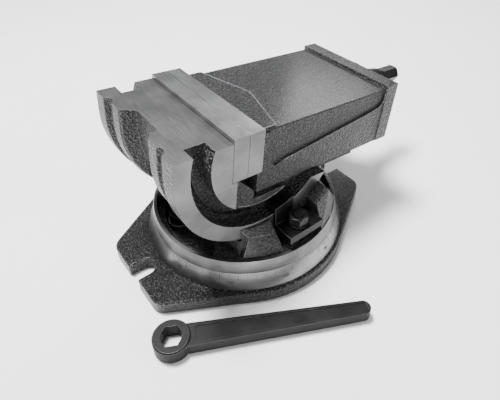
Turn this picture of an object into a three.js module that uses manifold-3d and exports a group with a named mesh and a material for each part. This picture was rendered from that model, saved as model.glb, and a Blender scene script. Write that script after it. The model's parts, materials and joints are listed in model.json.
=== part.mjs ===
// Two-way machine vise: a vise body that tilts in the cradle of a swivel base, with its jaws,
// leadscrew, clamps and box wrench. Millimetres, +Z up, +X towards the leadscrew's drive end.
// The origin is on the underside of the base, on the swivel axis.
import * as THREE from 'three';
import { ConvexGeometry } from 'three/addons/geometries/ConvexGeometry.js';
import { mergeVertices } from 'three/addons/utils/BufferGeometryUtils.js';
import Module from 'manifold-3d';

const wasm = await Module();
wasm.setup();

// ---------------------------------------------------------------- driving dimensions
const GAP = 0.3;                  // space left between neighbouring pieces
const RING_SEGMENTS = 64;         // facets on the large turned rings
const HIDDEN_SEGMENTS = 32;       // facets on the T-slot and other enclosed rings
const BORE_SEGMENTS = 24;         // facets on the screw, its bores and the pivot
const PIN_SEGMENTS = 16;          // facets on studs, screws and washers

const JAW_HALF = 62.5;            // half the jaw width, so the jaws are 125 wide
const TILT_X = -18.65;            // tilt axis, parallel to Y
const TILT_Z = 138;
const TILT_AXIS = [TILT_X, 0, TILT_Z];
const TILT_REST = 0.1;            // radians that the drive end hangs below level

const PLATE_TOP = 13.4;           // base plate thickness
const PLATE_RADIUS = 100.5;
const LUG_X = 125.4;              // lug ends
const LUG_HALF = 42.4;
const LUG_CORNER = 8;
const SLOT_HALF = 8.9;            // bolt slots in the lugs
const SLOT_CENTRE_X = 113;
const SCALE_FOOT_RADIUS = 97.5;   // graduated ring, conical
const SCALE_FOOT_Z = 14.6;
const SCALE_TOP_RADIUS = 91.8;
const SCALE_TOP_Z = 30.5;
const BASE_FLOOR_Z = 19.7;        // face that the turntable turns on
const BASE_RECESS_RADIUS = 84;
const TSLOT_RADIUS = 68;          // circular T-slot in the base
const PIVOT_RADIUS = 14.7;

const TABLE_TOP_Z = 42;
const TABLE_TOP_RADIUS = 89.2;
const POCKET_FLOOR_Z = 27;
const SEAT_RADIUS = 83.8;         // cradle seat, about the tilt axis
const SEAT_RELIEF_RADIUS = 85.9;  // lets the horn corners pass at full tilt
const CHEEK_Y = 62.9;             // cradle cheek in front of the flange
const CHEEK_RADIUS = 73;

const FLANGE_RADIUS = 83.5;       // tilt flange of the vise body, about the tilt axis
const GROOVE_OUTER = 70;
const GROOVE_INNER = 53.3;
const GROOVE_FLOOR_Y = 49.2;
const CAST_SIDE_Y = 58;           // unmachined side of the body, under the slide

// heights and lengths of the vise body are measured from the tilt axis
const FIXED_FACE_U = -34.25;      // seat of the fixed jaw plate
const MACHINED_END_U = -29.4;     // right end of the machined side faces
const BODY_TOP_W = 18;
const PLATE_LOW_W = -17;
const PLATE_HIGH_W = 21.75;
const PLATE_THICK = 13.75;
const BED_START_U = -8.9;
const BED_END_U = 136.6;
const BED_HALF = 42.7;
const BED_LOW_W = -40.8;
const BED_TOP_W = -26;
const LEDGE_W = -46.3;            // body top under the keeper plates
const WEB_HALF = 35.4;

const SLIDE_START_U = -5.85;
const SLIDE_END_U = 159.7;
const END_WALL_U = 144.65;
const SLIDE_HALF = 55.25;
const SIDE_BAND_HALF = 57;
const SLIDE_LOW_W = -41.1;
const SLIDE_TOP_W = 15;
const RIM_TOP_W = 18.2;
const SCREW_W = -10;              // leadscrew axis
const SCREW_RADIUS = 10;
const HEX_FLATS = 16.5;           // drive hexagon, across flats

const CLAMP_X = 3.5;              // tilt clamp stud
const CLAMP_Y = 75;
const CLAMP_LOW_Z = 48.5;         // slab of the clamp strap
const CLAMP_TOP_Z = 56;
const NOSE_RADIUS = 63;           // top of the strap's nose, about the tilt axis
const SWIVEL_BOLT_ANGLE = 0.264;  // radians off the X axis
const SWIVEL_WASHER = 3.5;        // washer thickness

const WRENCH_X = -128.9;          // centre of the wrench's head
const WRENCH_Y = -75.3;
const WRENCH_ANGLE = -0.503;      // radians
const WRENCH_LENGTH = 166.5;      // head centre to tip

// ---------------------------------------------------------------- finishes
const finish = (color, roughness, metalness) =>
  new THREE.MeshStandardMaterial({ color, roughness, metalness });
const HAMMERED = finish(0x3c3c3d, 0.5, 0.35);
const TURNED = finish(0x8b8d8f, 0.35, 0.9);
const GROUND = finish(0xb9babc, 0.3, 0.9);
const BLACK = finish(0x191919, 0.5, 0.5);
const BRONZE = finish(0xa57c45, 0.4, 0.9);

// ---------------------------------------------------------------- solids
function solid(geometry) {
  const bare = geometry.clone();
  bare.deleteAttribute('normal');
  bare.deleteAttribute('uv');
  const merged = mergeVertices(bare, 1e-4);
  const position = merged.attributes.position;
  const corners = [];
  let volume = 0;
  const [a, b, c] = [new THREE.Vector3(), new THREE.Vector3(), new THREE.Vector3()];
  for (let i = 0; i < merged.index.count; i += 3) {
    const [i0, i1, i2] = [0, 1, 2].map((k) => merged.index.getX(i + k));
    if (i0 === i1 || i1 === i2 || i2 === i0) continue;
    corners.push(i0, i1, i2);
    a.fromBufferAttribute(position, i0);
    b.fromBufferAttribute(position, i1);
    c.fromBufferAttribute(position, i2);
    volume += a.dot(b.cross(c));
  }
  if (volume < 0) corners.reverse();
  return new wasm.Manifold(new wasm.Mesh({
    numProp: 3,
    vertProperties: Float32Array.from(position.array),
    triVerts: Uint32Array.from(corners),
  }));
}

function box(x0, x1, y0, y1, z0, z1) {
  const block = new THREE.BoxGeometry(x1 - x0, y1 - y0, z1 - z0);
  block.translate((x0 + x1) / 2, (y0 + y1) / 2, (z0 + z1) / 2);
  return solid(block);
}

function extrusion(outline, length) {
  const shape = outline instanceof THREE.Shape
    ? outline
    : new THREE.Shape(outline.map(([p, q]) => new THREE.Vector2(p, q)));
  return new THREE.ExtrudeGeometry(shape, { depth: length, bevelEnabled: false, curveSegments: 8 });
}

// outline in X and Y, raised from z0 to z1
function prismZ(outline, z0, z1) {
  return solid(extrusion(outline, z1 - z0).translate(0, 0, z0));
}

// outline in X and Z, running from y0 to y1
function prismY(outline, y0, y1) {
  return solid(extrusion(outline, y1 - y0).rotateX(Math.PI / 2).translate(0, y1, 0));
}

// outline in Y and Z, running from x0 to x1
function prismX(outline, x0, x1) {
  const turn = new THREE.Matrix4().makeBasis(
    new THREE.Vector3(0, 1, 0), new THREE.Vector3(0, 0, 1), new THREE.Vector3(1, 0, 0));
  return solid(extrusion(outline, x1 - x0).applyMatrix4(turn).translate(x0, 0, 0));
}

// profile of [radius, height along the axis] points, closed on the axis or on itself
function lathe(profile, segments = PIN_SEGMENTS) {
  const points = profile.map(([r, h]) => new THREE.Vector2(r, h));
  if (profile[0][0] > 0) points.push(points[0].clone());
  return new THREE.LatheGeometry(points, segments);
}
const turnedZ = (profile, segments) => solid(lathe(profile, segments).rotateX(Math.PI / 2));
const turnedY = (profile, segments) => solid(lathe(profile, segments));
const turnedX = (profile, segments) => solid(lathe(profile, segments).rotateZ(-Math.PI / 2));

function hull(points) {
  return solid(new ConvexGeometry(points.map(([x, y, z]) => new THREE.Vector3(x, y, z))));
}

const rod = (radius, h0, h1) => [[0, h0], [radius, h0], [radius, h1], [0, h1]];
const ring = (inner, outer, h0, h1) => [[inner, h0], [outer, h0], [outer, h1], [inner, h1]];

function hexagon(flats) {
  const radius = flats / Math.sqrt(3);
  return [0, 1, 2, 3, 4, 5].map((k) => [
    radius * Math.cos((k * Math.PI) / 3), radius * Math.sin((k * Math.PI) / 3)]);
}

function geometryOf(body) {
  const { vertProperties, triVerts } = body.getMesh();
  const geometry = new THREE.BufferGeometry();
  geometry.setAttribute('position', new THREE.BufferAttribute(Float32Array.from(vertProperties), 3));
  geometry.setIndex(new THREE.BufferAttribute(Uint32Array.from(triVerts), 1));
  return geometry;
}

const moved = (body, [x, y, z]) => solid(geometryOf(body).translate(x, y, z));
const mirrorX = (body) => solid(geometryOf(body).scale(-1, 1, 1));
const mirrorY = (body) => solid(geometryOf(body).scale(1, -1, 1));
const both = (body) => body.add(mirrorY(body));

// ---------------------------------------------------------------- the assembly
const group = new THREE.Group();
const tilting = new THREE.Group();
tilting.position.set(...TILT_AXIS);
tilting.rotation.y = TILT_REST;
group.add(tilting);

function place(name, body, material, parent = group) {
  const geometry = geometryOf(body);
  geometry.computeVertexNormals();
  const mesh = new THREE.Mesh(geometry, material);
  mesh.name = name;
  parent.add(mesh);
  return mesh;
}

// ---------------------------------------------------------------- base
// Round plate with a slotted lug at each end; the straight sides leave the round as tangents.
function baseOutline() {
  const lug = new THREE.Vector2(LUG_X, LUG_HALF);
  const tangent = lug.angle() + Math.acos(PLATE_RADIUS / lug.length());
  const touch = new THREE.Vector2(Math.cos(tangent), Math.sin(tangent)).multiplyScalar(PLATE_RADIUS);
  const side = touch.clone().sub(lug).setLength(LUG_CORNER).add(lug);
  const corner = new THREE.QuadraticBezierCurve(
    new THREE.Vector2(LUG_X, LUG_HALF - LUG_CORNER), lug, side);
  const quarter = [];
  for (let k = 0; k <= 4; k += 1) {
    const angle = Math.PI * (1 - k / 8);
    quarter.push([SLOT_CENTRE_X + SLOT_HALF * Math.cos(angle), SLOT_HALF * Math.sin(angle)]);
  }
  quarter.push([LUG_X, SLOT_HALF]);
  corner.getPoints(4).forEach((point) => quarter.push([point.x, point.y]));
  for (let k = 0; k <= 6; k += 1) {
    const angle = tangent + (k / 6) * (Math.PI / 2 - tangent);
    quarter.push([PLATE_RADIUS * Math.cos(angle), PLATE_RADIUS * Math.sin(angle)]);
  }
  const half = [...quarter, ...quarter.slice(0, -1).reverse().map(([x, y]) => [-x, y])];
  return [...half, ...half.slice(1, -1).reverse().map(([x, y]) => [x, -y])];
}

function makeBase() {
  const scale = turnedZ([
    [0, 0.5], [SCALE_FOOT_RADIUS, 0.5], [SCALE_FOOT_RADIUS, SCALE_FOOT_Z],
    [SCALE_TOP_RADIUS, SCALE_TOP_Z], [0, SCALE_TOP_Z],
  ], RING_SEGMENTS);
  const recess = turnedZ(rod(BASE_RECESS_RADIUS, BASE_FLOOR_Z, SCALE_TOP_Z + 1), RING_SEGMENTS);
  const slotNeck = turnedZ(ring(TSLOT_RADIUS - 6.5, TSLOT_RADIUS + 6.5, 12, BASE_FLOOR_Z + 1),
    HIDDEN_SEGMENTS);
  const slotHead = turnedZ(ring(TSLOT_RADIUS - 11, TSLOT_RADIUS + 11, 5.5, 12.5),
    HIDDEN_SEGMENTS);
  const pivotHole = turnedZ(rod(PIVOT_RADIUS + GAP, 6, BASE_FLOOR_Z + 1), BORE_SEGMENTS);
  const cut = recess.add(slotNeck).add(slotHead).add(pivotHole);
  place('base_plate', prismZ(baseOutline(), 0, PLATE_TOP).add(scale).subtract(cut), HAMMERED);

  const pivot = turnedZ([
    [0, 6 + GAP], [PIVOT_RADIUS, 6 + GAP], [PIVOT_RADIUS, 38.5], [PIVOT_RADIUS - 1.5, 40], [0, 40],
  ], BORE_SEGMENTS);
  place('centre_pivot', pivot, TURNED);
}

// ---------------------------------------------------------------- turntable
// Open pocket beside the cradle, reaching out to the rim.
function pocketOutline(radius, side) {
  const points = [[-28, 35.3], [-28, -35.3], [-60.6, -35.3]];
  const from = Math.PI + Math.atan2(49.4, 69.8);
  for (let k = 0; k <= 10; k += 1) {
    const angle = from - (k / 10) * 2 * (from - Math.PI);
    points.push([radius * Math.cos(angle), radius * Math.sin(angle)]);
  }
  points.push([-60.6, 35.3]);
  return points.reverse().map(([x, y]) => [side * x, side * y]);
}

// One cradle: the seat under the flange, a cheek that guides the flange's face, a buttress on
// the horn side and a taller block on the drive side.
function cradle() {
  const seat = hull([
    [-52, -62.5, TABLE_TOP_Z - 2], [62, -62.5, TABLE_TOP_Z - 2],
    [-52, -46, TABLE_TOP_Z - 2], [62, -46, TABLE_TOP_Z - 2],
    [-52, -62.5, 66], [39, -62.5, 79], [62, -62.5, 45], [-52, -46, 66], [39, -46, 79], [62, -46, 45],
  ]);
  // steep upper facet and gentler lower facet, which meet in a crease
  const buttressTop = hull([
    [-50, -62.4, TABLE_TOP_Z - 2], [-18.4, -62.4, TABLE_TOP_Z - 2], [-42.4, -65, TABLE_TOP_Z - 2],
    [-18.4, -71, TABLE_TOP_Z - 2], [-49.4, -62.4, 70.9], [-49.4, -62.9, 70.9], [-18.4, -62.4, 66],
    [-18.4, -62.9, 66], [-42.4, -65, 58.9], [-21.6, -71, 55.7], [-18.4, -71, 55],
  ]);
  const buttressFoot = hull([
    [-50, -62.6, TABLE_TOP_Z - 2], [-51, -68, TABLE_TOP_Z - 2], [-35, -76.9, TABLE_TOP_Z - 2],
    [-18.4, -82.4, TABLE_TOP_Z - 2], [-18.4, -62.6, TABLE_TOP_Z - 2], [-50, -62.6, TABLE_TOP_Z],
    [-51, -68, TABLE_TOP_Z], [-35, -76.9, TABLE_TOP_Z], [-18.4, -82.4, TABLE_TOP_Z],
    [-42.4, -65, 58.9], [-21.6, -71, 55.7], [-18.4, -71, 55], [-23.2, -73, 49.7], [-18.4, -73, 49.7],
  ]);
  const block = hull([
    [24.4, -62.4, TABLE_TOP_Z - 2], [63, -62.4, TABLE_TOP_Z - 2], [61, -64.4, TABLE_TOP_Z - 2],
    [24.4, -85.4, TABLE_TOP_Z - 2], [44, -77.2, TABLE_TOP_Z - 2], [24.4, -85.4, TABLE_TOP_Z],
    [24.4, -62.4, 68], [39.5, -62.4, 76], [24.4, -76, 68], [38.8, -76, 75.6],
    [24.4, -78.5, 58], [44, -77, 59], [63, -62.4, 44], [61, -64.4, 43],
  ]);
  const seatCut = turnedY(rod(SEAT_RADIUS, -CHEEK_Y, -45), RING_SEGMENTS);
  const reliefCut = turnedY(rod(SEAT_RELIEF_RADIUS, -CHEEK_Y, -45), RING_SEGMENTS)
    .intersect(box(-90, -1.5, -CHEEK_Y, -45, -90, 0));
  const cheekCut = turnedY(rod(CHEEK_RADIUS, -95, -CHEEK_Y + 0.1), RING_SEGMENTS);
  const blockCut = turnedY(rod(SEAT_RADIUS, -95, -CHEEK_Y + 0.1), RING_SEGMENTS)
    .intersect(box(30, 90, -95, -45, -90, 10));
  const cut = moved(seatCut.add(reliefCut).add(cheekCut).add(blockCut), TILT_AXIS);
  return seat.add(buttressTop).add(buttressFoot).add(block).subtract(cut);
}

function makeTurntable() {
  const disc = turnedZ([
    [PIVOT_RADIUS + GAP, BASE_FLOOR_Z + GAP], [BASE_RECESS_RADIUS - GAP, BASE_FLOOR_Z + GAP],
    [BASE_RECESS_RADIUS - GAP, SCALE_TOP_Z + GAP], [SCALE_TOP_RADIUS, SCALE_TOP_Z + GAP],
    [TABLE_TOP_RADIUS + 0.6, TABLE_TOP_Z - 1.2], [TABLE_TOP_RADIUS, TABLE_TOP_Z],
    [PIVOT_RADIUS + GAP, TABLE_TOP_Z],
  ], RING_SEGMENTS);
  let table = disc.add(both(cradle()));
  for (const side of [1, -1]) {
    const upper = prismZ(pocketOutline(86.3, side), SCALE_TOP_Z + 3.5, TABLE_TOP_Z + 1);
    const lower = prismZ(pocketOutline(79.5, side), POCKET_FLOOR_Z, TABLE_TOP_Z + 1);
    table = table.subtract(upper.add(lower));
    const hole = turnedZ(rod(6 + GAP, BASE_FLOOR_Z - 1, POCKET_FLOOR_Z + 1));
    table = table.subtract(moved(hole, swivelBoltPlace(side)));
  }
  for (const side of [1, -1]) {
    const tapped = turnedZ(rod(5 + GAP, 30, TABLE_TOP_Z + 1));
    table = table.subtract(moved(tapped, [CLAMP_X, side * CLAMP_Y, 0]));
  }
  place('turntable', table, HAMMERED);
}

// ---------------------------------------------------------------- swivel lock
function swivelBoltPlace(side) {
  const x = -side * TSLOT_RADIUS * Math.cos(SWIVEL_BOLT_ANGLE);
  const y = side * TSLOT_RADIUS * Math.sin(SWIVEL_BOLT_ANGLE);
  return [x, y, 0];
}

function hexNut(flats, bore, z0, height) {
  const blank = prismZ(hexagon(flats), z0, z0 + height);
  const corner = flats / Math.sqrt(3);
  const chamfer = turnedZ([
    [0, z0], [corner - 0.9, z0], [corner, z0 + 0.9], [corner, z0 + height - 1.2],
    [corner - 1.6, z0 + height], [0, z0 + height],
  ], PIN_SEGMENTS);
  return blank.intersect(chamfer).subtract(turnedZ(rod(bore, z0 - 1, z0 + height + 1)));
}

function makeSwivelLock(name, side) {
  const at = swivelBoltPlace(side);
  const head = solid(new THREE.BoxGeometry(19, 19, 5).rotateZ(-SWIVEL_BOLT_ANGLE).translate(0, 0, 9));
  const stud = turnedZ([[0, 11], [5.9, 11], [5.9, 45.8], [4.9, 47], [0, 47]]);
  const washerZ = POCKET_FLOOR_Z + GAP;
  const nutZ = washerZ + SWIVEL_WASHER + GAP;
  const washer = turnedZ(ring(6 + GAP, 10.8, washerZ, washerZ + SWIVEL_WASHER));
  place(`swivel_t_bolt_${name}`, moved(head.add(stud), at), BLACK);
  place(`swivel_washer_${name}`, moved(washer, at), TURNED);
  place(`swivel_nut_${name}`, moved(hexNut(17, 5.9 + GAP, nutZ, 10), at), BLACK);
}

// ---------------------------------------------------------------- tilt clamps
// Strap whose foot is drawn down by the stud and whose nose reaches over the flange, into the
// groove of the vise body.
function strap() {
  const slab = box(-14, 24, -86, -CHEEK_Y - GAP, CLAMP_LOW_Z, CLAMP_TOP_Z);
  const nose = box(-14, 6, -65.4, -56, CLAMP_LOW_Z + 1, 84);
  const heel = box(14, 23, -80, -66, TABLE_TOP_Z + GAP, CLAMP_LOW_Z + 1);
  const above = moved(turnedY(rod(NOSE_RADIUS, -70, -50), RING_SEGMENTS), TILT_AXIS);
  const flangeRoom = moved(
    turnedY(ring(GROOVE_OUTER - GAP, 100, -CHEEK_Y - GAP, -40), RING_SEGMENTS), TILT_AXIS);
  const hole = moved(turnedZ(rod(5 + GAP, 40, 70)), [CLAMP_X, -CLAMP_Y, 0]);
  return slab.add(nose).add(heel).subtract(above).subtract(flangeRoom).subtract(hole);
}

function makeTiltClamp(name, flip) {
  const washerZ = CLAMP_TOP_Z + GAP;
  const stud = turnedZ([[0, 30.5], [5, 30.5], [5, 67.6], [4, 68.5], [0, 68.5]]);
  const washer = turnedZ(ring(5 + GAP, 9.2, washerZ, washerZ + 2));
  const nut = hexNut(16, 5 + GAP, washerZ + 2 + GAP, 8.4);
  const put = (body) => {
    const front = moved(body, [CLAMP_X, -CLAMP_Y, 0]);
    return flip ? mirrorY(front) : front;
  };
  place(`clamp_strap_${name}`, flip ? mirrorY(strap()) : strap(), BLACK);
  place(`clamp_stud_${name}`, put(stud), BLACK);
  place(`clamp_washer_${name}`, put(washer), BLACK);
  place(`clamp_nut_${name}`, put(nut), BLACK);
}

// ---------------------------------------------------------------- vise body
// Section of the underside from the middle outwards, as [radius about the tilt axis, y]: a
// hollow between the horns, a cast rib, a flute and the machined flange.
const BODY_SECTION = [
  [70, 13], [70.6, 16.4], [73, 18.6], [77, 21], [80.2, 23], [81.6, 25.5], [81.6, 36.6],
  [79.2, 38.8], [78.2, 42], [79.2, 45.2], [81.8, 47], [FLANGE_RADIUS, 48.5],
  [FLANGE_RADIUS, JAW_HALF],
];

// The section turned about the tilt axis, with the horns carried straight up from its height.
function bodyRound() {
  const near = BODY_SECTION.map(([r, y]) => [r, -y]).reverse();
  const turned = turnedY([[0, -JAW_HALF], ...near, ...BODY_SECTION, [0, JAW_HALF]], RING_SEGMENTS);
  const plan = [[0, -JAW_HALF], ...near, ...BODY_SECTION, [0, JAW_HALF]];
  return turned.add(prismZ(plan.map(([r, y]) => [-r, y]), 0, BODY_TOP_W + 1));
}

function makeViseBody() {
  // side view of everything that stays: fixed jaw, shoulder and the ledge under the keepers
  const outline = [
    [-95, -95], [95, -95], [95, LEDGE_W], [BED_START_U, LEDGE_W], [BED_START_U, -37.5],
    [MACHINED_END_U + GAP, PLATE_LOW_W - GAP], [FIXED_FACE_U, PLATE_LOW_W - GAP],
    [FIXED_FACE_U, BODY_TOP_W], [-95, BODY_TOP_W],
  ];
  const bed = box(BED_START_U - 2, BED_END_U, -BED_HALF, BED_HALF, BED_LOW_W, BED_TOP_W);
  const web = box(BED_START_U - 2, 62, -WEB_HALF, WEB_HALF, LEDGE_W - 2, BED_LOW_W + 1);
  const beam = prismY([[30, LEDGE_W], [62, LEDGE_W], [BED_END_U - 22, BED_LOW_W + 0.5],
    [30, BED_LOW_W + 0.5]], -16, 16);
  const groove = turnedY(ring(GROOVE_INNER, GROOVE_OUTER, -JAW_HALF - 1, -GROOVE_FLOOR_Y),
    RING_SEGMENTS);
  const undercut = turnedY(ring(62.6, 67, -GROOVE_FLOOR_Y - 1, -GROOVE_FLOOR_Y + 5), RING_SEGMENTS)
    .intersect(box(-80, -4, -60, -40, -80, 11));
  const castSide = box(MACHINED_END_U, 95, -JAW_HALF - 1, -CAST_SIDE_Y, -95, 30)
    .intersect(turnedY(rod(GROOVE_INNER + 1, -JAW_HALF - 2, 0), RING_SEGMENTS));
  let body = bodyRound().intersect(prismY(outline, -70, 70)).add(bed).add(web).add(beam);
  body = body.subtract(both(groove.add(undercut).add(castSide)));
  for (const side of [1, -1]) {
    const tapped = turnedX(rod(4 + GAP, FIXED_FACE_U - 16, FIXED_FACE_U + 1));
    body = body.subtract(moved(tapped, [0, side * 38, 2]));
    const nutHole = turnedZ(rod(3 + GAP, BED_TOP_W - 9, BED_TOP_W + 1));
    body = body.subtract(moved(nutHole, [123, side * 23.5, 0]));
  }
  place('vise_body', body, HAMMERED, tilting);
}

// ---------------------------------------------------------------- jaw plates
// Hardened plate held by two cap screws sunk in its gripping face. "facing" is the direction
// in which the gripping face looks, 1 or -1 along the slide.
function makeJawPlate(name, faceU, facing) {
  const back = faceU - facing * PLATE_THICK;
  let plate = box(Math.min(faceU, back), Math.max(faceU, back), -JAW_HALF, JAW_HALF,
    PLATE_LOW_W, PLATE_HIGH_W);
  [38, -38].forEach((y, index) => {
    const sink = turnedX(rod(6.9, -7.5, 1)).add(turnedX(rod(4 + GAP, -20, 1)));
    const oriented = facing > 0 ? sink : mirrorX(sink);
    plate = plate.subtract(moved(oriented, [faceU, y, 2]));
    const socket = prismX(hexagon(5), -4.6, 1);
    const screw = turnedX([[0, -26], [4, -26], [4, -7.2], [6.6, -7.2], [6.6, -0.5], [0, -0.5]])
      .subtract(socket);
    const turned = facing > 0 ? screw : mirrorX(screw);
    place(`${name}_screw_${index + 1}`, moved(turned, [faceU, y, 2]), BLACK, tilting);
  });
  place(`${name}_plate`, plate, GROUND, tilting);
}

// ---------------------------------------------------------------- moving jaw
function makeMovingJaw() {
  const upper = box(SLIDE_START_U, SLIDE_END_U, -SLIDE_HALF, SLIDE_HALF, SLIDE_LOW_W, SLIDE_TOP_W);
  // raised pad behind the jaw plate, pointed towards the screw
  const pad = prismZ([[SLIDE_START_U, -54.6], [10.6, -54.6], [26.6, 0], [10.6, 54.6],
    [SLIDE_START_U, 54.6]], SLIDE_TOP_W - 1, SLIDE_TOP_W + 2.3);
  const endWall = box(END_WALL_U, SLIDE_END_U, -57.7, 57.7, SLIDE_LOW_W, RIM_TOP_W);
  // the lower side stands proud of the panel above it and sweeps up into the end wall
  const band = prismY([
    [SLIDE_START_U, SLIDE_LOW_W], [END_WALL_U + 1, SLIDE_LOW_W], [END_WALL_U + 1, 9],
    [144.4, 4], [141.6, 0], [137, -2.4], [131, -3.8], [103, -7.8], [71, -12], [41, -16],
    [21, -18.6], [12, -21.6], [8, -17], [4.6, SLIDE_TOP_W - 2], [SLIDE_START_U, SLIDE_TOP_W - 2],
  ], -SIDE_BAND_HALF, SIDE_BAND_HALF);
  const bedRoom = box(SLIDE_START_U - 1, END_WALL_U, -BED_HALF - GAP, BED_HALF + GAP,
    SLIDE_LOW_W - 1, BED_TOP_W + GAP);
  const screwRoom = box(9.65, END_WALL_U, -30, 30, BED_TOP_W - 1, 3.6);
  const bore = moved(
    turnedX(rod(SCREW_RADIUS + GAP, END_WALL_U - 1, SLIDE_END_U + 1), BORE_SEGMENTS), [0, 0, SCREW_W]);
  let jaw = upper.add(pad).add(endWall).add(band).subtract(bedRoom.add(screwRoom).add(bore));
  for (const side of [1, -1]) {
    const tapped = turnedX(rod(4 + GAP, SLIDE_START_U - 1, SLIDE_START_U + 13.5));
    jaw = jaw.subtract(moved(tapped, [0, side * 38, 2]));
    for (const u of [6, 54, 102]) {
      const hole = turnedZ(rod(2.5 + GAP, SLIDE_LOW_W - 1, SLIDE_LOW_W + 11));
      jaw = jaw.subtract(moved(hole, [u, side * 49, 0]));
    }
  }
  for (const [y, w] of capScrewPlaces()) {
    const hole = turnedX(rod(2.5 + GAP, SLIDE_END_U - 10, SLIDE_END_U + 1));
    jaw = jaw.subtract(moved(hole, [0, y, w]));
  }
  place('moving_jaw', jaw, HAMMERED, tilting);
}

function makeKeeper(name, side) {
  const top = SLIDE_LOW_W - GAP;
  const low = LEDGE_W + 0.5;
  let keeper = box(-3, 112, 36.2, 55, low, top);
  [6, 54, 102].forEach((u, index) => {
    const sink = turnedZ([
      [0, low - 1], [5.2, low - 1], [5.2, low + 0.6], [2.5 + GAP, low + 3.2], [2.5 + GAP, top + 1],
      [0, top + 1],
    ]);
    keeper = keeper.subtract(moved(sink, [u, 49, 0]));
    const blank = turnedZ([
      [0, low + 0.1], [4.8, low + 0.1], [4.8, low + 0.6], [2.5, low + 2.9], [2.5, SLIDE_LOW_W + 9.5],
      [0, SLIDE_LOW_W + 9.5],
    ]);
    const screw = moved(blank.subtract(prismZ(hexagon(3.2), low - 1, low + 1.7)), [u, 49, 0]);
    place(`keeper_screw_${name}_${index + 1}`, side > 0 ? screw : mirrorY(screw), BLACK, tilting);
  });
  place(`keeper_plate_${name}`, side > 0 ? keeper : mirrorY(keeper), BLACK, tilting);
}

// ---------------------------------------------------------------- leadscrew
function makeLeadscrew() {
  const turned = turnedX([
    [0, 13], [8.4, 13], [SCREW_RADIUS, 14.6], [SCREW_RADIUS, 137.8], [13.2, 137.8], [13.2, 144.2],
    [SCREW_RADIUS, 144.2], [SCREW_RADIUS, SLIDE_END_U + 1], [8.4, SLIDE_END_U + 1], [8.4, 211],
    [0, 211],
  ], BORE_SEGMENTS);
  const drive = prismX(hexagon(HEX_FLATS), 210.5, 233.6)
    .intersect(turnedX([[0, 200], [9.6, 200], [9.6, 232.6], [8.6, 233.6], [0, 233.6]], BORE_SEGMENTS));
  place('leadscrew', moved(turned.add(drive), [0, 0, SCREW_W]), BLACK, tilting);
}

function makeScrewNut() {
  const block = box(110.6, 135.4, -18, 18, BED_TOP_W + GAP, 2.6);
  const foot = box(110.6, 135.4, -28.6, 28.6, BED_TOP_W + GAP, BED_TOP_W + 8);
  const bore = moved(turnedX(rod(SCREW_RADIUS + GAP, 100, 140), BORE_SEGMENTS), [0, 0, SCREW_W]);
  let nut = block.add(foot).subtract(bore);
  [23.5, -23.5].forEach((y, index) => {
    const hole = turnedZ(rod(3 + GAP, BED_TOP_W - 1, BED_TOP_W + 9));
    nut = nut.subtract(moved(hole, [123, y, 0]));
    const blank = turnedZ([
      [0, BED_TOP_W - 8], [3, BED_TOP_W - 8], [3, BED_TOP_W + 8.3], [5, BED_TOP_W + 8.3],
      [5, BED_TOP_W + 14], [0, BED_TOP_W + 14],
    ]);
    const screw = moved(blank.subtract(prismZ(hexagon(4), BED_TOP_W + 10.5, BED_TOP_W + 15)), [123, y, 0]);
    place(`nut_screw_${index + 1}`, screw, BLACK, tilting);
  });
  place('leadscrew_nut', nut, BRONZE, tilting);
}

function capScrewPlaces() {
  return [45, 135, 225, 315].map((degrees) => {
    const angle = (degrees * Math.PI) / 180;
    return [20.6 * Math.cos(angle), SCREW_W + 20.6 * Math.sin(angle)];
  });
}

// Cone-nosed cap that closes the screw's bearing and holds the screw's shoulder.
function makeBearingCap() {
  const start = SLIDE_END_U + GAP;
  const cone = turnedX([
    [8.4 + GAP, SLIDE_END_U + 1 + GAP], [SCREW_RADIUS + GAP, SLIDE_END_U + 1 + GAP],
    [SCREW_RADIUS + GAP, start], [26, start], [26, start + 5.5], [25, start + 6.5], [16.4, start + 7.5],
    [15.8, start + 12], [11.2, 204], [10.2, 205.4], [8.4 + GAP, 205.4],
  ], BORE_SEGMENTS);
  let cap = moved(cone, [0, 0, SCREW_W]);
  capScrewPlaces().forEach(([y, w], index) => {
    cap = cap.subtract(moved(turnedX(rod(2.5 + GAP, start - 1, start + 8)), [0, y, w]));
    const blank = turnedX([
      [0, start - 9], [2.5, start - 9], [2.5, start + 7.8], [4.2, start + 7.8], [4.2, start + 12],
      [0, start + 12],
    ]);
    const screw = moved(blank.subtract(prismX(hexagon(3), start + 9.4, start + 13)), [0, y, w]);
    place(`cap_screw_${index + 1}`, screw, BLACK, tilting);
  });
  place('bearing_cap', cap, BLACK, tilting);
}

// ---------------------------------------------------------------- wrench
function makeWrench() {
  const head = turnedZ([[0, 0], [14.5, 0], [15.5, 1], [15.5, 13], [14.5, 14], [0, 14]], 40);
  const tipRadius = 6.4;
  const end = WRENCH_LENGTH - tipRadius;
  const outline = new THREE.Shape().moveTo(8, -10.4).lineTo(end, -tipRadius)
    .absarc(end, 0, tipRadius, -Math.PI / 2, Math.PI / 2).lineTo(8, 10.4);
  const hollow = new THREE.Shape().moveTo(21, -7.1).lineTo(end, 1.8 - tipRadius)
    .absarc(end, 0, tipRadius - 1.8, -Math.PI / 2, Math.PI / 2).lineTo(21, 7.1)
    .lineTo(19, 5.4).lineTo(19, -5.4);
  const panels = prismZ(hollow, 0, 2.6).add(prismZ(hollow, 11.2, 13.8));
  const handle = prismZ(outline, 1.4, 12.4).subtract(panels);
  const hexHole = prismZ(hexagon(HEX_FLATS + 0.7), -1, 15);
  const mesh = place('box_wrench', head.add(handle).subtract(hexHole), BLACK);
  mesh.position.set(WRENCH_X, WRENCH_Y, 0);
  mesh.rotation.z = WRENCH_ANGLE;
}

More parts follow.
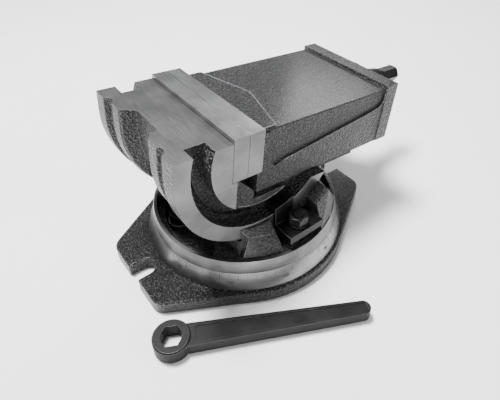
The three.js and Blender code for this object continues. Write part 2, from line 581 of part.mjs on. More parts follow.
// ---------------------------------------------------------------- build
makeBase();
makeTurntable();
makeSwivelLock('left', 1);
makeSwivelLock('right', -1);
makeTiltClamp('front', false);
makeTiltClamp('rear', true);
makeViseBody();
makeJawPlate('fixed_jaw', FIXED_FACE_U + GAP + PLATE_THICK, 1);
makeJawPlate('moving_jaw', SLIDE_START_U - GAP - PLATE_THICK, -1);
makeMovingJaw();
makeKeeper('front', -1);
makeKeeper('rear', 1);
makeScrewNut();
makeLeadscrew();
makeBearingCap();
makeWrench();

export default group;
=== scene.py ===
import json
import math

import bmesh
import bpy
from mathutils import Matrix, Vector


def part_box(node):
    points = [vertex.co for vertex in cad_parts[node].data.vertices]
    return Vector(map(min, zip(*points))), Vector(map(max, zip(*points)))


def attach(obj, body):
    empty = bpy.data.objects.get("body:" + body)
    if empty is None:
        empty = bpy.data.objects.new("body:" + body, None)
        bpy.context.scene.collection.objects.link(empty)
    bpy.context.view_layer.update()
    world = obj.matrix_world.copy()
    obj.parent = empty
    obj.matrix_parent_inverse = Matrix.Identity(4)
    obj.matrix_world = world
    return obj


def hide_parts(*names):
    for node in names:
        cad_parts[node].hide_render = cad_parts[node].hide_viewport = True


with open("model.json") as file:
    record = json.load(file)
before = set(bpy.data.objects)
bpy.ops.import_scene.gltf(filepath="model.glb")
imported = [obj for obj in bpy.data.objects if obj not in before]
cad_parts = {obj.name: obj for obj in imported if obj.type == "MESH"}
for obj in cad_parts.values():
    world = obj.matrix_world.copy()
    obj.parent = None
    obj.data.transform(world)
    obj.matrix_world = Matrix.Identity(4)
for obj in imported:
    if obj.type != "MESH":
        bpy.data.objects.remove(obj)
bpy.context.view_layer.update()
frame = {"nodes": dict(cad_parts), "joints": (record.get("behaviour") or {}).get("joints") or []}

# ------------------------------------------------------------------ camera
# The vise stands on a bench and is looked down on from its front left corner,
# with the wrench lying in front of it.
CAMERA_PLACE = Vector((-0.19375, -0.2768, 0.350))
CAMERA_TURN = math.radians(-38.86)
CAMERA_ELEVATION = math.radians(37.07)
CAMERA_ROLL = math.radians(0.25)


def stand(name, data):
    """An object of this data, put in the scene."""
    thing = bpy.data.objects.new(name, data)
    bpy.context.scene.collection.objects.link(thing)
    return thing


lens = bpy.data.cameras.new("camera")
lens.sensor_width = 36
lens.lens = 32.7
lens.shift_x = -0.035
lens.shift_y = -0.103
lens.clip_start = 0.01
camera = stand("camera", lens)
back = Vector((
    math.sin(CAMERA_TURN) * math.cos(CAMERA_ELEVATION),
    -math.cos(CAMERA_TURN) * math.cos(CAMERA_ELEVATION),
    math.sin(CAMERA_ELEVATION),
))
right = Vector((math.cos(CAMERA_TURN), math.sin(CAMERA_TURN), 0))
upward = back.cross(right)
rolled = right * math.cos(CAMERA_ROLL) + upward * math.sin(CAMERA_ROLL)
raised = upward * math.cos(CAMERA_ROLL) - right * math.sin(CAMERA_ROLL)
camera.matrix_world = (Matrix.Translation(CAMERA_PLACE)
                       @ Matrix((rolled, raised, back)).transposed().to_4x4())
bpy.context.scene.camera = camera

# ------------------------------------------------------------------ floor and light
# A plain pale studio floor under a white sky, with one strong soft lamp over the vise and three weak
# ones: behind it at the right, in front of it, and low at its front left for the turned ring.


class Reading:
    """A number that a finish reads from its nodes; sums on it add Math nodes."""

    def __init__(self, finish, socket):
        self.finish = finish
        self.socket = socket

    def sum(self, operation, *values):
        return self.finish.node("ShaderNodeMath", {"operation": operation}, dict(enumerate(values)))

    def __add__(self, other):
        return self.sum("ADD", self, other)

    def __rsub__(self, other):
        return self.sum("SUBTRACT", other, self)

    def __mul__(self, other):
        return self.sum("MULTIPLY", self, other)

    def __gt__(self, other):
        return self.sum("GREATER_THAN", self, other)

    def __lt__(self, other):
        return self.sum("LESS_THAN", self, other)

    __radd__ = __add__
    __rmul__ = __mul__


class Finish:
    """One material on the Principled shader, whose other nodes all come from node()."""

    def __init__(self, name, **fixed):
        self.material = bpy.data.materials.new(name)
        self.material.use_nodes = True
        self.tree = self.material.node_tree
        self.shader = self.tree.nodes["Principled BSDF"]
        for socket, value in fixed.items():
            self.shader.inputs[socket.replace("_", " ")].default_value = value

    def node(self, kind, settings=None, sockets=None, out=0):
        node = self.tree.nodes.new(kind)
        for key, value in (settings or {}).items():
            if key == "stops":
                while len(node.color_ramp.elements) < len(value):
                    node.color_ramp.elements.new(1)
                for element, (position, shade) in zip(node.color_ramp.elements, value):
                    element.position = position
                    element.color = (shade, shade, shade, 1) if isinstance(shade, float) else shade
            else:
                setattr(node, key, value)
        for key, value in (sockets or {}).items():
            self.feed(node.inputs[key], value)
        return Reading(self, node.outputs[out])

    def feed(self, socket, value):
        if isinstance(value, Reading):
            self.tree.links.new(value.socket, socket)
        else:
            socket.default_value = value

    def give(self, **varying):
        for socket, value in varying.items():
            self.feed(self.shader.inputs[socket.replace("_", " ")], value)

    def place(self, stretch=(1, 1, 1), turn=(0, 0, 0)):
        own = self.node("ShaderNodeTexCoord", out="Object")
        return self.node("ShaderNodeMapping", {"vector_type": "POINT"},
                         {"Vector": own, "Scale": stretch, "Rotation": turn})

    def noise(self, vector, scale, detail=2.0, roughness=0.5):
        return self.node("ShaderNodeTexNoise", {"noise_dimensions": "3D"}, {
            "Vector": vector, "Scale": scale, "Detail": detail, "Roughness": roughness})

    def ramp(self, value, *stops):
        return self.node("ShaderNodeValToRGB", {"stops": stops}, {"Fac": value})

    def relief(self, height, strength, distance):
        return self.node("ShaderNodeBump", None,
                         {"Height": height, "Strength": strength, "Distance": distance})


floor_mesh = bpy.data.meshes.new("floor")
floor_mesh.from_pydata([(-4, -4, 0), (4, -4, 0), (4, 4, 0), (-4, 4, 0)], [], [(0, 1, 2, 3)])
floor = stand("floor", floor_mesh)
floor.location.z = -0.0004
pale = Finish("pale_floor", Roughness=0.9)
pale.give(Base_Color=pale.ramp(pale.noise(pale.place(), 6), (0.3, 0.93), (0.7, 0.96)))
floor_mesh.materials.append(pale.material)

sky = bpy.data.worlds.new("sky")
sky.use_nodes = True
sky.node_tree.nodes["Background"].inputs["Color"].default_value = (0.95, 0.97, 1.0, 1)
sky.node_tree.nodes["Background"].inputs["Strength"].default_value = 0.40
bpy.context.scene.world = sky


def soft_lamp(name, place, target, size, watts):
    light = bpy.data.lights.new(name, "AREA")
    light.shape = "RECTANGLE"
    light.size, light.size_y = size
    light.energy = watts
    lamp = stand(name, light)
    lamp.location = place
    lamp.rotation_euler = (Vector(target) - Vector(place)).to_track_quat("-Z", "Y").to_euler()


soft_lamp("overhead_lamp", (-0.2, 0.35, 1.6), (0, 0, 0), (0.4, 0.4), 84)
soft_lamp("rear_lamp", (1.05, 0.75, 0.75), (0.06, 0, 0.1), (0.3, 0.3), 7)
soft_lamp("low_lamp", (-0.55, -1.15, 0.16), (0, 0, 0.03), (0.35, 0.3), 5)
soft_lamp("front_lamp", (0.45, -1.3, 0.9), (0, 0, 0.05), (0.4, 0.4), 6)

# ------------------------------------------------------------------ base
# Cast-iron swivel base: a round plate with two slotted lugs in pebbled dark grey enamel. Its
# conical ring is turned bright and carries the swivel scale.
CAST_EDGE = 0.0014
CRISP_EDGE = 0.0004
SLIVER = 0.0005
WELD = 0.000002
FLAT_TURN = math.radians(0.8)
EDGE_TURN = math.radians(24)


def hammered_enamel(name, low=0.003, high=0.085, lump=0.0030):
    enamel = Finish(name, Metallic=0.12, Coat_Weight=0.15, Coat_Roughness=0.2)
    at = enamel.place()
    warped = enamel.node("ShaderNodeMix", {"data_type": "VECTOR"}, {
        "Factor": 0.0016, 4: at, 5: enamel.node("ShaderNodeTexNoise", None,
                                                {"Vector": at, "Scale": 420.0}, out="Color")}, out=1)
    lumps = enamel.node("ShaderNodeTexVoronoi", {"feature": "SMOOTH_F1"},
                        {"Vector": warped, "Scale": 520.0, "Smoothness": 0.35})
    grain = enamel.noise(at, 1500.0, 2.0)
    height = lumps + grain * 0.35
    # The colour follows the lumps: their tops lighter and the hollows between them darker, partly
    # the paint's own mottle and partly painted highlight and shade on the lumps.
    mottle_and_lump_shading = enamel.ramp(height, (0.38, (high, high, high * 1.02, 1)),
                          (0.62, (low, low, low * 1.05, 1)))
    enamel.give(
        Base_Color=mottle_and_lump_shading,
        Roughness=0.24 + 0.25 * grain,
        Normal=enamel.relief(1 - height, 1.0, lump),
    )
    return enamel


def bright_steel(name, tone, roughness, stretch, scale, relief=0.12):
    steel = Finish(name, Metallic=1.0)
    marks = steel.noise(steel.place(stretch), scale, 3.0, 0.6)
    cloud = steel.noise(steel.place(), 45.0, 2.0)
    shade = marks * 0.5 + cloud * 0.5
    dark, light = tone
    steel.give(
        Base_Color=steel.ramp(shade, (0.3, dark), (0.7, light)),
        Roughness=roughness + 0.18 * marks,
        Normal=steel.relief(marks, relief, 0.0002),
    )
    return steel.material


enamel = hammered_enamel("hammered_enamel").material
# Lighter enamel for the rounded cast edges: partly worn paint, partly a painted highlight along the
# edges.
worn_and_highlit_edge = hammered_enamel("enamel_edge_wear_and_highlight", 0.06, 0.14, 0.0006).material
turned = bright_steel("turned_ring", (0.16, 0.34), 0.24, (1, 1, 40), 55.0)


def refined(nodes, name, body, materials, which=None, edge=None, crisp=CRISP_EDGE, soft=None,
            tidy=WELD):
    """A piece made from CAD nodes: merged, its flat faces joined, its edges rounded. `which` picks
    a face's material, `soft` is true for an edge that has the casting's large radius, and `edge` is
    the number of the material that the rounded edges take."""
    mesh = bpy.data.meshes.new(name)
    work = bmesh.new()
    for node in nodes:
        work.from_mesh(frame["nodes"][node].data)
    bmesh.ops.remove_doubles(work, verts=work.verts, dist=WELD)
    bmesh.ops.dissolve_limit(work, angle_limit=FLAT_TURN, verts=work.verts, edges=work.edges,
                             use_dissolve_boundaries=False)
    bmesh.ops.remove_doubles(work, verts=work.verts, dist=tidy)
    work.normal_update()
    for face in work.faces:
        face.smooth = True
        face.material_index = which(face.calc_center_median(), face.normal) if which else 0
    weight = work.edges.layers.float.new("bevel_weight_edge")
    for line in work.edges:
        if len(line.link_faces) == 2 and line.calc_face_angle(0) > EDGE_TURN:
            line.smooth = False
            middle = (line.verts[0].co + line.verts[1].co) / 2
            large = soft is not None and soft(middle)
            line[weight] = 1.0 if large else min(1.0, crisp / CAST_EDGE)
    work.to_mesh(mesh)
    work.free()
    for material in materials:
        mesh.materials.append(material)
    piece = stand(name, mesh)
    rounding = piece.modifiers.new("rounding", "BEVEL")
    rounding.limit_method = "WEIGHT"
    rounding.width = CAST_EDGE
    rounding.segments = 3
    rounding.use_clamp_overlap = True
    rounding.harden_normals = False
    if edge is not None:
        rounding.material = edge
    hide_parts(*nodes)
    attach(piece, body)


MM = 0.001
RING_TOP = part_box("base_plate")[1].z
RING_TOP_RADIUS = 91.8 * MM
RING_FOOT_RADIUS = 97.5 * MM
RING_FOOT = 14.6 * MM
RECESS_RADIUS = 83.5 * MM


def on_ring(centre, normal):
    return int(centre.z > RING_FOOT - 0.0005 and centre.xy.length > RECESS_RADIUS)


def plate_edge(middle):
    return middle.z < RING_FOOT and middle.xy.length > RING_FOOT_RADIUS


refined(["base_plate"], "swivel_base", "base", [enamel, turned], on_ring,
        soft=plate_edge, tidy=SLIVER)

# Fine graduations are cut in the top edge of the cone, one to a degree, and filled dark.
# The same dark fill also paints the shadow line along the slide's sides.
scribed_and_painted_shadow = Finish("scribed_line_and_painted_shadow", Metallic=0.2, Roughness=0.6)
dark_fill = scribed_and_painted_shadow.noise(scribed_and_painted_shadow.place(), 900.0)
scribed_and_painted_shadow.give(Base_Color=scribed_and_painted_shadow.ramp(dark_fill, (0.3, 0.012), (0.7, 0.03)))
cone_rise = Vector((RING_TOP_RADIUS - RING_FOOT_RADIUS, 0, RING_TOP - RING_FOOT)).normalized()
cone_out = Vector((cone_rise.z, 0, -cone_rise.x))


def plain_mesh(maker):
    """The maker's shape, with its modifiers or its curve worked out, as a mesh of its own."""
    return bpy.data.meshes.new_from_object(
        maker.evaluated_get(bpy.context.evaluated_depsgraph_get()))


def graduations(name, count, length, width):
    """Geometry Nodes: a bar laid along the cone's slope, repeated round the ring."""
    tree = bpy.data.node_groups.new(name, "GeometryNodeTree")
    tree.interface.new_socket("Count", in_out="INPUT", socket_type="NodeSocketInt")
    tree.interface.new_socket("Size", in_out="INPUT", socket_type="NodeSocketVector")
    tree.interface.new_socket("Place", in_out="INPUT", socket_type="NodeSocketVector")
    tree.interface.new_socket("Lean", in_out="INPUT", socket_type="NodeSocketFloat")
    tree.interface.new_socket("Geometry", in_out="OUTPUT", socket_type="NodeSocketGeometry")

    def add(kind, **links):
        node = tree.nodes.new(kind)
        for key, value in links.items():
            socket = node.inputs[key.replace("_", " ")]
            if isinstance(value, bpy.types.NodeSocket):
                tree.links.new(value, socket)
            else:
                socket.default_value = value
        return node

    given = tree.nodes.new("NodeGroupInput").outputs
    bar = add("GeometryNodeMeshCube", Size=given["Size"])
    lean = add("ShaderNodeCombineXYZ", Y=given["Lean"])
    laid = add("GeometryNodeTransform", Geometry=bar.outputs[0], Translation=given["Place"],
               Rotation=lean.outputs[0])
    points = add("GeometryNodePoints", Count=given["Count"])
    index = add("GeometryNodeInputIndex")
    share = tree.nodes.new("ShaderNodeMath")
    share.operation = "DIVIDE"
    tree.links.new(index.outputs[0], share.inputs[0])
    tree.links.new(given["Count"], share.inputs[1])
    angle = tree.nodes.new("ShaderNodeMath")
    angle.operation = "MULTIPLY"
    tree.links.new(share.outputs[0], angle.inputs[0])
    angle.inputs[1].default_value = 2 * math.pi
    turn = add("ShaderNodeCombineXYZ", Z=angle.outputs[0])
    copies = add("GeometryNodeInstanceOnPoints", Points=points.outputs[0], Instance=laid.outputs[0],
                 Rotation=turn.outputs[0])
    real = add("GeometryNodeRealizeInstances", Geometry=copies.outputs[0])
    painted = add("GeometryNodeSetMaterial", Geometry=real.outputs[0], Material=scribed_and_painted_shadow.material)
    tree.links.new(painted.outputs[0], tree.nodes.new("NodeGroupOutput").inputs[0])

    maker = stand(name, bpy.data.meshes.new(name))
    modifier = maker.modifiers.new("graduations", "NODES")
    modifier.node_group = tree
    start = Vector((RING_TOP_RADIUS, 0, RING_TOP)) - cone_rise * (length / 2 + 0.0004)
    values = {
        "Count": count, "Size": (0.00008, width, length), "Place": start + cone_out * 0.00005,
        "Lean": math.atan2(cone_rise.x, cone_rise.z),
    }
    for item in tree.interface.items_tree:
        if item.in_out == "INPUT":
            modifier[item.identifier] = values[item.name]
    mesh = plain_mesh(maker)
    maker.modifiers.clear()
    maker.data = mesh
    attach(maker, "base")


graduations("degree_lines", 360, 2.6 * MM, 0.22 * MM)
graduations("five_degree_lines", 72, 4.2 * MM, 0.28 * MM)
graduations("ten_degree_lines", 36, 6.0 * MM, 0.34 * MM)


def lettering(name, words, size):
    """Figures as one mesh; each word is given with the matrix that lays it on the surface."""
    joined = bmesh.new()
    for word, matrix in words:
        curve = bpy.data.curves.new(name, "FONT")
        curve.body = word
        curve.size = size
        curve.align_x = "CENTER"
        curve.align_y = "CENTER"
        curve.extrude = 0.00003
        letter = stand(name, curve)
        mesh = plain_mesh(letter)
        mesh.transform(matrix)
        joined.from_mesh(mesh)
        bpy.data.objects.remove(letter)
    mesh = bpy.data.meshes.new(name)
    joined.to_mesh(mesh)
    joined.free()
    mesh.materials.append(scribed_and_painted_shadow.material)
    return stand(name, mesh)


SCALE_START = 15.5
FIGURE_STEP = 30
low_on_cone = Vector((RING_TOP_RADIUS, 0, RING_TOP)) - cone_rise * 0.0096 + cone_out * 0.00004
lay = Matrix((Vector((0, 1, 0)), cone_rise, cone_out)).transposed().to_4x4()
figures = []
for step in range(360 // FIGURE_STEP):
    turn = Matrix.Rotation(math.radians(FIGURE_STEP * step + SCALE_START), 4, "Z")
    reading = min(FIGURE_STEP * step, 360 - FIGURE_STEP * step)
    figures.append((str(reading), turn @ Matrix.Translation(low_on_cone) @ lay))
ring_figures = lettering("ring_figures", figures, 0.0043)
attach(ring_figures, "base")

plain_steel = bright_steel("plain_steel", (0.30, 0.50), 0.30, (1, 1, 30), 60.0)
refined(["centre_pivot"], "pivot_pin", "base", [plain_steel])

# ------------------------------------------------------------------ turntable
# Cast-iron turntable with the two cradles that carry the tilting body. Its rim is turned bright
# down to the scale ring; the rest is pebbled enamel.
RIM_INNER = 86.4 * MM
TABLE_TOP = 42 * MM


def rim_face(centre, normal):
    return int(RING_TOP < centre.z < TABLE_TOP - 0.0002 and centre.xy.length > 88.5 * MM)


def table_enamel():
    """Enamel that stops at the turned land round the rim."""
    cast = hammered_enamel("table_enamel", 0.012, 0.06, 0.0012)
    parts = cast.node("ShaderNodeSeparateXYZ", None, {0: cast.place()}).socket.node.outputs
    x, y, z = (Reading(cast, socket) for socket in parts)
    radius = cast.node("ShaderNodeMath", {"operation": "SQRT"}, {0: x * x + y * y})
    rings = cast.node("ShaderNodeTexNoise", {"noise_dimensions": "1D"},
                      {"W": radius, "Scale": 1800.0})
    bare = cast.node("ShaderNodeBsdfPrincipled", None, {
        "Metallic": 1.0,
        "Base Color": cast.ramp(rings, (0.3, 0.10), (0.7, 0.20)),
        "Roughness": 0.3 + 0.2 * rings,
    })
    land = (radius > RIM_INNER) * (z < TABLE_TOP + 0.0002) * (z > TABLE_TOP - 0.002)
    mixed = cast.node("ShaderNodeMixShader", None, {
        "Fac": land, 1: Reading(cast, cast.shader.outputs[0]), 2: bare})
    cast.feed(cast.tree.nodes["Material Output"].inputs["Surface"], mixed)
    return cast.material


# The beads' lighter enamel is a painted highlight along the cast edges.
highlight_bead_enamel = hammered_enamel("highlight_bead_enamel", 0.10, 0.30, 0.0008).material


def cast_bead(name, body, route, radius, material=highlight_bead_enamel):
    """A bead left along a cast edge, through points given in metres; by default its lighter enamel
    paints a highlight on the edge.
    """
    curve = bpy.data.curves.new(name, "CURVE")
    curve.dimensions = "3D"
    curve.bevel_depth = radius
    curve.bevel_resolution = 2
    curve.use_fill_caps = True
    spline = curve.splines.new("POLY")
    spline.points.add(len(route) - 1)
    for point, place in zip(spline.points, route):
        point.co = (*place, 1)
    maker = stand(name, curve)
    mesh = plain_mesh(maker)
    bpy.data.objects.remove(maker)
    mesh.materials.append(material)
    for face in mesh.polygons:
        face.use_smooth = True
    bead = stand(name, mesh)
    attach(bead, body)


rim_steel = bright_steel("turned_rim", (0.08, 0.22), 0.28, (1, 1, 40), 55.0)


def cradle_edge(middle):
    return middle.z > TABLE_TOP + 0.002 and abs(middle.y) > 0.063


refined(["turntable"], "turntable_casting", "turntable",
        [table_enamel(), rim_steel, worn_and_highlit_edge], rim_face, edge=2, soft=cradle_edge, tidy=2 * SLIVER)

# Cast ridges stand along the creases of each buttress, on both sides of the turntable; their lighter
# enamel is a painted highlight.
RIDGES = {
    "crease": ((-49.2, -63.2, 70.2), (-42.4, -65, 58.9), (-21.6, -71, 55.7)),
    "skirt": ((-42.4, -65, 58.9), (-51, -68, 42.2)),
    "foot": ((-51, -68, 42.2), (-23.2, -73, 49.7), (-18.6, -73, 49.7)),
}
for ridge, route in RIDGES.items():
    for side, across in (("front", 1), ("rear", -1)):
        cast_bead(f"buttress_{ridge}_{side}", "turntable",
                  [Vector((x, y * across, z)) * MM for x, y, z in route], 0.35 * MM)

# ------------------------------------------------------------------ swivel locks
# T-bolts in the base's circular slot, each with a washer and a blackened hexagon nut, standing
# in the two open pockets of the turntable.


def black_oxide(name, low=0.004, high=0.016, roughness=0.3):
    oxide = Finish(name, Metallic=0.75)
    at = oxide.place()
    blotch = oxide.noise(at, 130.0, 3.0)
    fine = oxide.noise(at, 1400.0, 2.0)
    oxide.give(
        Base_Color=oxide.ramp(blotch, (0.3, low), (0.75, high)),
        Roughness=roughness + 0.25 * blotch,
        Normal=oxide.relief(fine, 0.12, 0.0002),
    )
    return oxide.material


blackened = black_oxide("black_oxide")
rubbed = black_oxide("rubbed_oxide", 0.03, 0.08, 0.3)


def threaded_rod(name, body, node, axis_place, axis, radius, pitch, start, end, depth):
    """A screw thread as one closed surface round `axis`, with its ends closed by flat discs."""
    around, rings = 40, max(2, int(round((end - start) / pitch * 8)))
    towards = Vector(axis).normalized()
    across = towards.orthogonal().normalized()
    beside = towards.cross(across)
    work = bmesh.new()
    loops = []
    for k in range(rings + 1):
        along = start + (end - start) * k / rings
        fade = min(1.0, (along - start) / pitch, (end - along) / pitch)
        loop = []
        for j in range(around):
            angle = 2 * math.pi * j / around
            phase = (along / pitch - j / around) % 1
            groove = min(1.0, max(0.0, 2.2 * (1 - abs(2 * phase - 1)) - 0.6))
            reach = radius - depth * (groove * fade + (1 - fade))
            loop.append(work.verts.new(
                Vector(axis_place) + towards * along
                + (across * math.cos(angle) + beside * math.sin(angle)) * reach))
        loops.append(loop)
    for lower, upper in zip(loops, loops[1:]):
        for j in range(around):
            n = (j + 1) % around
            work.faces.new((lower[j], lower[n], upper[n], upper[j])).smooth = True
    work.faces.new(list(reversed(loops[0])))
    work.faces.new(loops[-1])
    mesh = bpy.data.meshes.new(name)
    work.to_mesh(mesh)
    work.free()
    mesh.materials.append(blackened)
    piece = stand(name, mesh)
    if node:
        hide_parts(node)
    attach(piece, body)


def middle_of(node):
    low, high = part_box(node)
    return (low + high) / 2


COARSE_PITCH = 1.75 * MM
for side in ("left", "right"):
    bolt = f"swivel_t_bolt_{side}"
    centre = middle_of(bolt)
    bolt_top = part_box(bolt)[1].z
    refined([bolt], f"t_bolt_{side}", "turntable", [blackened])
    threaded_rod(f"t_bolt_thread_{side}", "turntable", None, (centre.x, centre.y, 0),
                 (0, 0, 1), 5.98 * MM, COARSE_PITCH, 0.0225, bolt_top - 0.0012, 0.85 * MM)
    refined([f"swivel_washer_{side}"], f"swivel_washer_{side}_plain", "turntable",
            [plain_steel])
    refined([f"swivel_nut_{side}"], f"swivel_nut_{side}_hex", f"swivel_nut_{side}",
            [blackened, rubbed], edge=1)

# ------------------------------------------------------------------ tilt clamps
# Blackened strap clamps on studs screwed in the turntable. Each strap's nose reaches in the
# groove of the tilting body and draws its flange down in the cradle.
for side, name in (("front", "front_clamp"), ("rear", "rear_clamp")):
    stud = f"clamp_stud_{side}"
    low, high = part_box(stud)
    centre = middle_of(stud)
    refined([f"clamp_strap_{side}"], f"strap_{side}", name, [blackened, rubbed],
            edge=1, crisp=0.0007)
    refined([f"clamp_washer_{side}"], f"strap_washer_{side}", name, [blackened])
    refined([f"clamp_nut_{side}"], f"strap_nut_{side}", f"{name}_nut",
            [blackened, rubbed], edge=1)
    threaded_rod(f"stud_{side}", "turntable", stud, (centre.x, centre.y, 0),
                 (0, 0, 1), 5.0 * MM, COARSE_PITCH, low.z, high.z, 0.8 * MM)

# ------------------------------------------------------------------ tilting body
# Iron casting of fixed jaw, horns and two flanges with a curved clamping groove. The top, the
# flanges' faces and the slideway are machined bright; the rest keeps its pebbled enamel.
tilt = next(joint for joint in frame["joints"] if joint["name"] == "tilt")
TILT_PLACE = Vector(tilt["pos_m"])
slide_way = next(joint for joint in frame["joints"] if joint["name"] == "jaw_slide")
ALONG = Vector(slide_way["axis"]).normalized()
ABOVE = ALONG.cross(Vector((0, 1, 0))) * -1
if ABOVE.z < 0:
    ABOVE = -ABOVE
REST_TILT = math.atan2(-ALONG.z, ALONG.x)


def vise_place(point):
    """A point as (along the slide, across, above), measured from the tilt axis."""
    offset = point - TILT_PLACE
    return Vector((offset.dot(ALONG), point.y, offset.dot(ABOVE)))


def on_vise(along, across, above):
    """The point at these millimetres from the tilt axis."""
    return TILT_PLACE + (ALONG * along + ABOVE * above + Vector((0, across, 0))) * MM


def jaw_steel(name, tone, roughness, stretch, scale, relief):
    """Bright steel whose tool marks lie square to the slide."""
    steel = Finish(name, Metallic=1.0)
    marks = steel.noise(steel.place(stretch, (0, REST_TILT, 0)), scale, 3.0, 0.6)
    cloud = steel.noise(steel.place(), 38.0, 3.0)
    dark, light = tone
    steel.give(
        Base_Color=steel.ramp(marks * 0.4 + cloud * 0.6, (0.32, dark), (0.68, light)),
        Roughness=roughness + 0.2 * marks,
        Normal=steel.relief(marks, relief, 0.0002),
    )
    return steel.material


milled_top = jaw_steel("milled_top", (0.09, 0.18), 0.36, (1, 0.05, 1), 1400.0, 0.10)
milled_side = jaw_steel("milled_side", (0.09, 0.20), 0.32, (0.05, 1, 1), 1200.0, 0.10)
BODY_TOP = 18 * MM
JAW_HALF = 62.5 * MM


def body_face(centre, normal):
    place = vise_place(centre)
    lift = normal.dot(ABOVE)
    if lift > 0.98 and place.z > BODY_TOP - 0.0005:
        return 1
    if abs(normal.y) > 0.98 and abs(place.y) > JAW_HALF - 0.0003:
        return 2
    if place.x > -9.5 * MM and place.z > -0.0415 and abs(place.y) < 0.05:
        return 2
    if normal.dot(ALONG) > 0.98 and place.x > -0.036 and place.z > -0.018:
        return 2
    return 0


def body_edge(middle):
    place = vise_place(middle)
    reach = Vector((place.x, place.z)).length
    outer_ribs = abs(place.y) < 61 * MM and place.x < -9.5 * MM
    groove_wall = reach < 55 * MM and abs(place.y) > 50 * MM
    return outer_ribs or groove_wall


refined(["vise_body"], "vise_body_casting", "vise_body",
        [enamel, milled_top, milled_side, worn_and_highlit_edge], body_face, edge=3, soft=body_edge,
        tidy=2 * SLIVER)


def groove_arc(radius, across, first, last):
    turns = [math.radians(first + (last - first) * step / 32) for step in range(33)]
    return [on_vise(radius * math.cos(turn), across, radius * math.sin(turn)) for turn in turns]


# Thin cast lips run round the clamping groove: one at its inner wall, one on the flange's face.
# Their lighter enamel is a painted highlight.
for side, across in (("front", -1), ("rear", 1)):
    cast_bead(f"inner_lip_{side}", "vise_body", groove_arc(53.2, across * 57.9, -118, -62),
              0.5 * MM)
    cast_bead(f"outer_lip_{side}", "vise_body", groove_arc(70.1, across * 62.3, -178, -40),
              0.28 * MM)

# ------------------------------------------------------------------ jaw plates
# Hardened steel plates, ground bright on top and on the grip side and milled square at their ends.
# Two socket screws from the grip side hold each one to its jaw.
ground = jaw_steel("ground_plate", (0.14, 0.38), 0.28, (1, 0.04, 1), 2200.0, 0.08)


def plate_end(centre, normal):
    return int(abs(normal.y) > 0.9 and abs(centre.y) > 0.06)


for jaw, body in (("fixed_jaw", "vise_body"), ("moving_jaw", "moving_jaw")):
    refined([f"{jaw}_plate"], f"{jaw}_ground_plate", body, [ground, milled_side],
            plate_end, crisp=0.00012)
    for number in (1, 2):
        refined([f"{jaw}_screw_{number}"], f"{jaw}_socket_screw_{number}", body,
                [blackened, rubbed], edge=1, crisp=0.0003)

# ------------------------------------------------------------------ sliding jaw
# Cast slide in pebbled enamel, with a raised pad behind its plate, a proud lower band and an end
# wall that holds the screw's bearing. Two keeper plates under it hook below the slideway.


def slide_edge(middle):
    place = vise_place(middle)
    return place.z > -0.039 and place.x > -0.004 and not (abs(place.y) < 0.031 and place.z < 0.005)


refined(["moving_jaw"], "slide_casting", "moving_jaw", [enamel, worn_and_highlit_edge],
        edge=1, soft=slide_edge, tidy=SLIVER)

# Beads of lighter enamel, a painted highlight, mark the pad's outline and the top of the band, and a
# dark line along each side is a painted shadow under the top edge.
PAD_TOP = 17.3
PAD_EDGE = [(-3, -54.4), (10.6, -54.4), (26.4, 0), (10.6, 54.4), (-3, 54.4)]
BAND_RISE = [(21, -18.8), (41, -16.2), (71, -12.2), (103, -8), (131, -4), (137, -2.6), (141.6, -0.3),
             (144, 4), (144.3, 10)]
PANEL_TOP = [(3, 13.6), (141, 13.6)]
cast_bead("pad_bead", "moving_jaw",
          [on_vise(along, across, PAD_TOP - 0.3) for along, across in PAD_EDGE], 0.5 * MM)
for side, across in (("front", -1), ("rear", 1)):
    cast_bead(f"band_bead_{side}", "moving_jaw",
              [on_vise(along, across * 56.8, above) for along, above in BAND_RISE], 0.45 * MM)
    # The dark line along each side is a painted shadow under the top edge of the panel.
    cast_bead(f"painted_shadow_line_{side}", "moving_jaw",
              [on_vise(along, across * 55.1, above) for along, above in PANEL_TOP], 0.55 * MM,
              scribed_and_painted_shadow.material)
for side in ("front", "rear"):
    refined([f"keeper_plate_{side}"], f"keeper_{side}", "moving_jaw", [blackened])
    for number in (1, 2, 3):
        refined([f"keeper_screw_{side}_{number}"], f"keeper_{side}_screw_{number}", "moving_jaw",
                [blackened], crisp=0.0002)

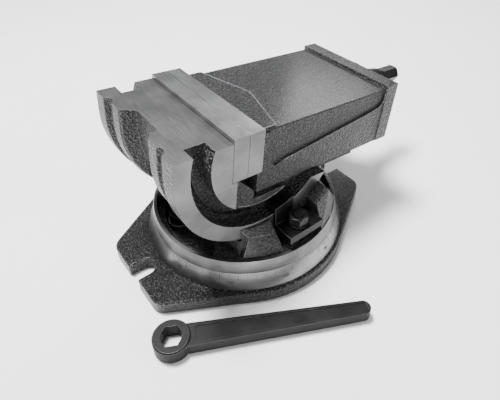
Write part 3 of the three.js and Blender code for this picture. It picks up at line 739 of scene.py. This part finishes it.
# ------------------------------------------------------------------ leadscrew
# Steel screw with a shallow 5 mm thread, turned by its hexagon end. It runs in a bronze nut
# on the slideway, and the cone-nosed cap holds its shoulder in the end wall.
screw_joint = next(joint for joint in frame["joints"] if joint["name"] == "leadscrew_turn")
screw_place = Vector(screw_joint["pos_m"])
SCREW_LEAD = 5 * MM
refined(["leadscrew"], "leadscrew_spindle", "leadscrew", [blackened, rubbed], edge=1)
threaded_rod("leadscrew_thread", "leadscrew", None, screw_place, ALONG,
             10.15 * MM, SCREW_LEAD, 0.0146, 0.1378, 0.4 * MM)
bronze = bright_steel("bronze_nut", ((0.30, 0.18, 0.07, 1), (0.62, 0.42, 0.18, 1)), 0.30,
                      (1, 30, 1), 70.0)
refined(["leadscrew_nut"], "bronze_screw_nut", "vise_body", [bronze])
for number in (1, 2):
    refined([f"nut_screw_{number}"], f"bronze_nut_screw_{number}", "vise_body",
            [blackened], crisp=0.0003)
refined(["bearing_cap"], "cone_cap", "moving_jaw", [blackened, rubbed], edge=1)
for number in (1, 2, 3, 4):
    refined([f"cap_screw_{number}"], f"cone_cap_screw_{number}", "moving_jaw",
            [blackened, rubbed], edge=1, crisp=0.0003)

# ------------------------------------------------------------------ wrench
# Forged box wrench for the screw's hexagon, with its sunk panel, in semi-matt black; its rounded
# edges are lighter, partly rubbed wear and partly a painted highlight.
forged = Finish("forged_black", Metallic=0.0, Specular_IOR_Level=0.1)
skin = forged.noise(forged.place(), 700.0, 3.0)
cloud = forged.noise(forged.place(), 60.0, 2.0)
forged.give(
    Base_Color=forged.ramp(cloud, (0.3, 0.006), (0.7, 0.014)),
    Roughness=0.36 + 0.2 * cloud,
    Normal=forged.relief(skin, 0.35, 0.0004),
)
# Lighter oxide on the wrench's rounded edges: partly rubbed wear, partly a painted highlight.
rubbed_and_highlit_forging = black_oxide("rubbed_and_highlit_forging", 0.08, 0.18, 0.3)
refined(["box_wrench"], "box_wrench_forging", "wrench",
        [forged.material, rubbed_and_highlit_forging], edge=1, crisp=0.0008)
